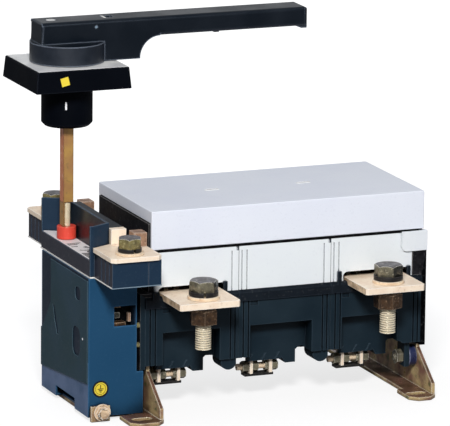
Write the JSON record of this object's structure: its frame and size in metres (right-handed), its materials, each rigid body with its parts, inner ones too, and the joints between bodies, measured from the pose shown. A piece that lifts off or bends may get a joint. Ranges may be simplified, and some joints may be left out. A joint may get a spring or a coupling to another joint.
{
  "type": "switch disconnector",
  "caption": "Switch disconnector with side mechanism, plated bolt-on terminal bars, arc chamber covers, mounting feet and a pistol handle on a square shaft",
  "frame": {"origin": "centre of the four mounting slots, on the mounting plane", "axes": "+Z away from the mounting plane towards the handle, -Y towards the front terminals, +X from the mechanism along the row of chambers"},
  "size_m": [0.3005, 0.188, 0.2898],
  "materials": {
    "case": "satin",
    "cover": "satin",
    "end_plate": "mottled matte",
    "chromate": "yellow chromate",
    "tin": "tin plated copper",
    "copper": "plain copper",
    "bolt": "chromated",
    "black_steel": "blackened",
    "blue_metal": "smooth paint",
    "slate_metal": "smooth paint",
    "tray": "satin",
    "black_plastic": "satin",
    "red": "gloss",
    "label": "printed sheet",
    "yellow": "printed sheet",
    "navy": "satin",
    "fibre": "vulcanised fibre",
    "rotor": "glass-filled polyester"
  },
  "bodies": {
    "base": {"pole_case_1": "case", "pole_case_2": "case", "pole_case_3": "case", "arc_cover_1": "cover", "arc_cover_2": "cover", "arc_cover_3": "cover", "top_lid": "cover", "end_plate_left": "end_plate", "end_plate_right": "end_plate", "foot_left": "chromate", "foot_right": "chromate", "line_bar_1": "tin", "line_bar_3": "tin", "load_bar_1": "tin", "load_bar_3": "tin", "terminal_bolts": "bolt", "terminal_nuts": "copper", "spring_washers": "black_steel", "flat_washers": "chromate", "neutral_plate_front": "tin", "neutral_plate_rear": "tin", "neutral_link": "tin", "neutral_blocks": "copper", "neutral_bolts": "bolt", "mechanism_housing": "blue_metal", "mechanism_side_cover": "slate_metal", "mechanism_top": "tray", "instruction_label": "label", "earth_label": "yellow", "earth_screw": "chromate", "housing_spacers": "bolt", "clamp_tabs": "tin", "clamp_studs": "chromate", "clamp_nuts": "bolt", "clamp_yokes": "black_steel", "foot_studs": "chromate", "foot_discs": "navy", "escutcheon": "black_plastic", "escutcheon_label": "label", "bearing_sleeve": "black_plastic", "inspection_sticker": "yellow", "guide_rods": "bolt", "arc_plates": "bolt", "arc_cheeks": "fibre"},
    "handle": {"handle_shell": "black_plastic", "handle_plug": "label", "extension_shaft": "copper", "coupling_strap": "copper", "red_collar": "red", "drive_spindle": "bolt"},
    "hasp": {"padlock_hasp": "bolt"},
    "slider": {"drive_slider": "chromate"},
    "rotor": {"rotor_shaft": "rotor", "rotor_hubs": "rotor", "moving_blades_1": "tin", "moving_blades_3": "tin", "blade_pins": "bolt", "rotor_crank": "black_steel"}
  },
  "joints": [
    {"name": "handle_turn", "type": "hinge", "parent": "base", "child": "handle", "pos_m": [-0.1375, 0.0175, 0.2], "axis": [0, 0, -1], "range_deg": [0, 90]},
    {"name": "slider_travel", "type": "slide", "parent": "base", "child": "slider", "axis": [0, -1, 0], "range_m": [0, 0.016]},
    {"name": "rotor_turn", "type": "hinge", "parent": "base", "child": "rotor", "pos_m": [0, 0, 0.08], "axis": [1, 0, 0], "range_deg": [0, 60]},
    {"name": "hasp_pull", "type": "slide", "parent": "handle", "child": "hasp", "axis": [0, 0, 1], "range_m": [0, 0.013]}
  ],
  "couplings": [
    {"joint": "slider_travel", "follows": "handle_turn", "m_per_rad": 0.010186},
    {"joint": "rotor_turn", "follows": "handle_turn", "ratio": 0.66667}
  ]
}
